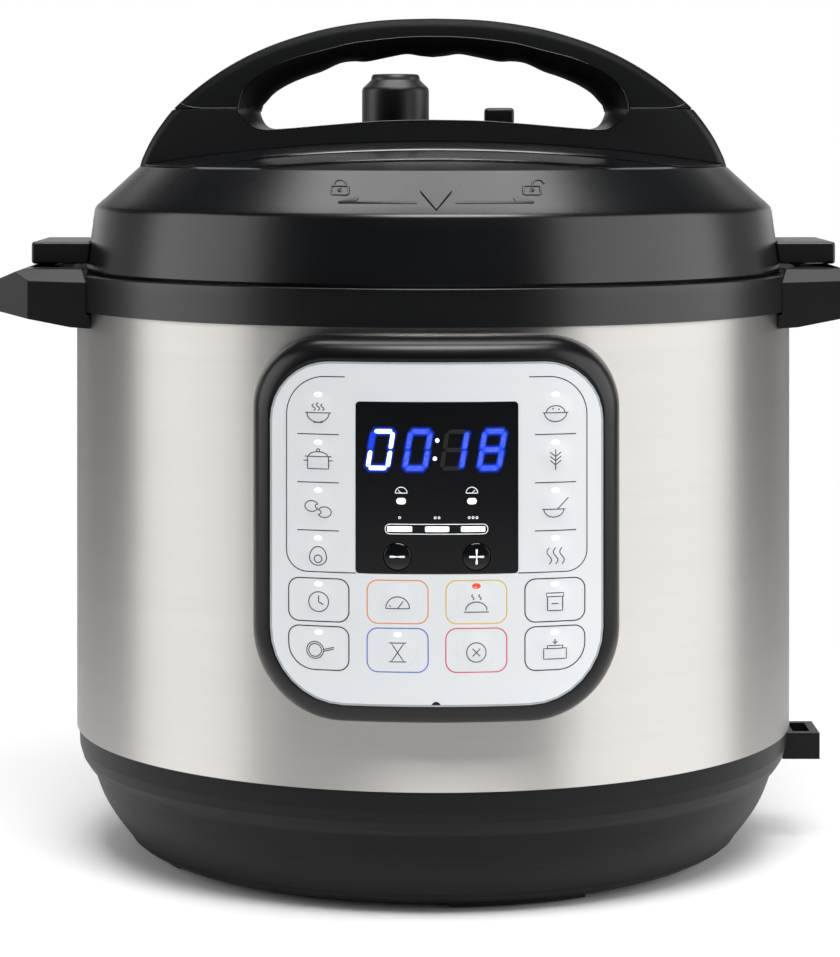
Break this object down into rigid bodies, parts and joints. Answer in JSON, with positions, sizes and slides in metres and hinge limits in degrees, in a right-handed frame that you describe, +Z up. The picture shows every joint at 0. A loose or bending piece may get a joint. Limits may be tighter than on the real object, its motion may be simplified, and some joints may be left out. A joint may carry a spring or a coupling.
{
  "type": "electric pressure cooker",
  "caption": "Electric pressure cooker: steel body on a black plastic base, curved control panel with display and keys, turn-and-lock lid with arched handle, steam valve, and lift-out pot.",
  "frame": {"origin": "on the floor under the axis of the round body, which is within 3 mm of the middle of the bounding box", "axes": "+Z up, control panel facing -Y, side handles along X"},
  "size_m": [0.34, 0.3083, 0.317],
  "materials": {
    "base_plastic": "satin",
    "ring_plastic": "satin",
    "lid_plastic": "satin",
    "grip_plastic": "satin",
    "knob_plastic": "satin",
    "bezel_plastic": "satin",
    "inlet_plastic": "matte",
    "switch_plastic": "matte",
    "rubber": "matte",
    "brushed_steel": "brushed",
    "pot_steel": "polished",
    "plated_steel": "plain",
    "spring_steel": "plain",
    "sensor_metal": "satin",
    "liner_metal": "satin",
    "cast_aluminium": "cast",
    "terminal_metal": "plain",
    "ceramic_white": "matte",
    "board_green": "satin",
    "pin_brass": "polished",
    "panel_silver": "satin",
    "display_black": "gloss",
    "module_black": "matte",
    "lamp_lens": "gloss",
    "silicone_clear": "satin",
    "float_metal": "satin",
    "collector_plastic": "frosted"
  },
  "bodies": {
    "housing": {"base_shell": "base_plastic", "bottom_plate": "plated_steel", "rubber_feet": "rubber", "case_screws": "plated_steel", "outer_shell": "brushed_steel", "top_ring": "ring_plastic", "side_handles": "ring_plastic", "outer_pot": "liner_metal", "heating_plate": "cast_aluminium", "plate_studs": "plated_steel", "element_terminals": "terminal_metal", "sensor_cup": "plated_steel", "sensor_spring": "spring_steel", "pressure_switch": "switch_plastic", "thermal_fuse": "ceramic_white", "power_board": "board_green", "inlet_socket": "inlet_plastic", "inlet_pins": "pin_brass", "panel_bezel": "bezel_plastic", "panel_overlay": "panel_silver", "display_window": "display_black", "display_module": "module_black", "indicator_lamps": "lamp_lens", "control_board": "board_green"},
    "sensor": {"temperature_sensor": "sensor_metal"},
    "pot": {"inner_pot": "pot_steel"},
    "seal": {"sealing_ring": "silicone_clear"},
    "lid": {"lid_cover": "lid_plastic", "lid_fins": "lid_plastic", "handle_base": "lid_plastic", "handle_grip": "grip_plastic", "handle_screws": "plated_steel", "inner_lid": "pot_steel", "ring_rack": "pot_steel", "vent_pipe": "pot_steel", "anti_block_shield": "pot_steel", "locking_pin": "pot_steel"},
    "float": {"float_valve": "float_metal", "float_seal": "silicone_clear"},
    "weight": {"steam_weight": "pot_steel"},
    "knob": {"steam_knob": "knob_plastic"},
    "collector": {"condensation_collector": "collector_plastic"},
    "key_left_1": {"key_left_1": "panel_silver"},
    "key_left_2": {"key_left_2": "panel_silver"},
    "key_left_3": {"key_left_3": "panel_silver"},
    "key_left_4": {"key_left_4": "panel_silver"},
    "key_right_1": {"key_right_1": "panel_silver"},
    "key_right_2": {"key_right_2": "panel_silver"},
    "key_right_3": {"key_right_3": "panel_silver"},
    "key_right_4": {"key_right_4": "panel_silver"},
    "key_upper_1": {"key_upper_1": "panel_silver"},
    "key_upper_2": {"key_upper_2": "panel_silver"},
    "key_upper_3": {"key_upper_3": "panel_silver"},
    "key_upper_4": {"key_upper_4": "panel_silver"},
    "key_lower_1": {"key_lower_1": "panel_silver"},
    "key_lower_2": {"key_lower_2": "panel_silver"},
    "key_lower_3": {"key_lower_3": "panel_silver"},
    "key_lower_4": {"key_lower_4": "panel_silver"},
    "key_minus": {"key_minus": "display_black"},
    "key_plus": {"key_plus": "display_black"}
  },
  "joints": [
    {"name": "lid_lift", "type": "slide", "parent": "housing", "child": "seal", "axis": [0, 0, 1], "range_m": [0, 0.3]},
    {"name": "lid_turn", "type": "hinge", "parent": "seal", "child": "lid", "pos_m": [0, 0, 0.22], "axis": [0, 0, 1], "range_deg": [0, 30]},
    {"name": "pot_lift", "type": "slide", "parent": "housing", "child": "pot", "axis": [0, 0, 1], "range_m": [0, 0.18]},
    {"name": "steam_lift", "type": "slide", "parent": "lid", "child": "weight", "axis": [0, 0, 1], "range_m": [0, 0.004]},
    {"name": "steam_turn", "type": "hinge", "parent": "weight", "child": "knob", "pos_m": [-0.0146, 0.045, 0.28], "axis": [0, 0, 1], "range_deg": [0, 45]},
    {"name": "float_rise", "type": "slide", "parent": "lid", "child": "float", "axis": [0, 0, 1], "range_m": [0, 0.004]},
    {"name": "sensor_press", "type": "slide", "parent": "housing", "child": "sensor", "axis": [0, 0, 1], "range_m": [-0.0025, 0], "stiffness_N_per_m": 1500, "deforming": ["sensor_spring"]},
    {"name": "collector_slide", "type": "slide", "parent": "housing", "child": "collector", "axis": [0, 1, 0], "range_m": [0, 0.03]},
    {"name": "key_left_1_press", "type": "slide", "parent": "housing", "child": "key_left_1", "axis": [0.2658, 0.964, 0], "range_m": [0, 0.0008], "stiffness_N_per_m": 1500},
    {"name": "key_left_2_press", "type": "slide", "parent": "housing", "child": "key_left_2", "axis": [0.2658, 0.964, 0], "range_m": [0, 0.0008], "stiffness_N_per_m": 1500},
    {"name": "key_left_3_press", "type": "slide", "parent": "housing", "child": "key_left_3", "axis": [0.2658, 0.964, 0], "range_m": [0, 0.0008], "stiffness_N_per_m": 1500},
    {"name": "key_left_4_press", "type": "slide", "parent": "housing", "child": "key_left_4", "axis": [0.2658, 0.964, 0], "range_m": [0, 0.0008], "stiffness_N_per_m": 1500},
    {"name": "key_right_1_press", "type": "slide", "parent": "housing", "child": "key_right_1", "axis": [-0.2658, 0.964, 0], "range_m": [0, 0.0008], "stiffness_N_per_m": 1500},
    {"name": "key_right_2_press", "type": "slide", "parent": "housing", "child": "key_right_2", "axis": [-0.2658, 0.964, 0], "range_m": [0, 0.0008], "stiffness_N_per_m": 1500},
    {"name": "key_right_3_press", "type": "slide", "parent": "housing", "child": "key_right_3", "axis": [-0.2658, 0.964, 0], "range_m": [0, 0.0008], "stiffness_N_per_m": 1500},
    {"name": "key_right_4_press", "type": "slide", "parent": "housing", "child": "key_right_4", "axis": [-0.2658, 0.964, 0], "range_m": [0, 0.0008], "stiffness_N_per_m": 1500},
    {"name": "key_upper_1_press", "type": "slide", "parent": "housing", "child": "key_upper_1", "axis": [0.2645, 0.9644, 0], "range_m": [0, 0.0008], "stiffness_N_per_m": 1500},
    {"name": "key_upper_2_press", "type": "slide", "parent": "housing", "child": "key_upper_2", "axis": [0.0877, 0.9961, 0], "range_m": [0, 0.0008], "stiffness_N_per_m": 1500},
    {"name": "key_upper_3_press", "type": "slide", "parent": "housing", "child": "key_upper_3", "axis": [-0.0877, 0.9961, 0], "range_m": [0, 0.0008], "stiffness_N_per_m": 1500},
    {"name": "key_upper_4_press", "type": "slide", "parent": "housing", "child": "key_upper_4", "axis": [-0.2645, 0.9644, 0], "range_m": [0, 0.0008], "stiffness_N_per_m": 1500},
    {"name": "key_lower_1_press", "type": "slide", "parent": "housing", "child": "key_lower_1", "axis": [0.2645, 0.9644, 0], "range_m": [0, 0.0008], "stiffness_N_per_m": 1500},
    {"name": "key_lower_2_press", "type": "slide", "parent": "housing", "child": "key_lower_2", "axis": [0.0877, 0.9961, 0], "range_m": [0, 0.0008], "stiffness_N_per_m": 1500},
    {"name": "key_lower_3_press", "type": "slide", "parent": "housing", "child": "key_lower_3", "axis": [-0.0877, 0.9961, 0], "range_m": [0, 0.0008], "stiffness_N_per_m": 1500},
    {"name": "key_lower_4_press", "type": "slide", "parent": "housing", "child": "key_lower_4", "axis": [-0.2645, 0.9644, 0], "range_m": [0, 0.0008], "stiffness_N_per_m": 1500},
    {"name": "key_minus_press", "type": "slide", "parent": "housing", "child": "key_minus", "axis": [0.0884, 0.9961, 0], "range_m": [0, 0.0008], "stiffness_N_per_m": 1500},
    {"name": "key_plus_press", "type": "slide", "parent": "housing", "child": "key_plus", "axis": [-0.0884, 0.9961, 0], "range_m": [0, 0.0008], "stiffness_N_per_m": 1500}
  ],
  "couplings": [
    {"joint": "pot_lift", "follows": "lid_lift", "ratio": 0.55}
  ]
}
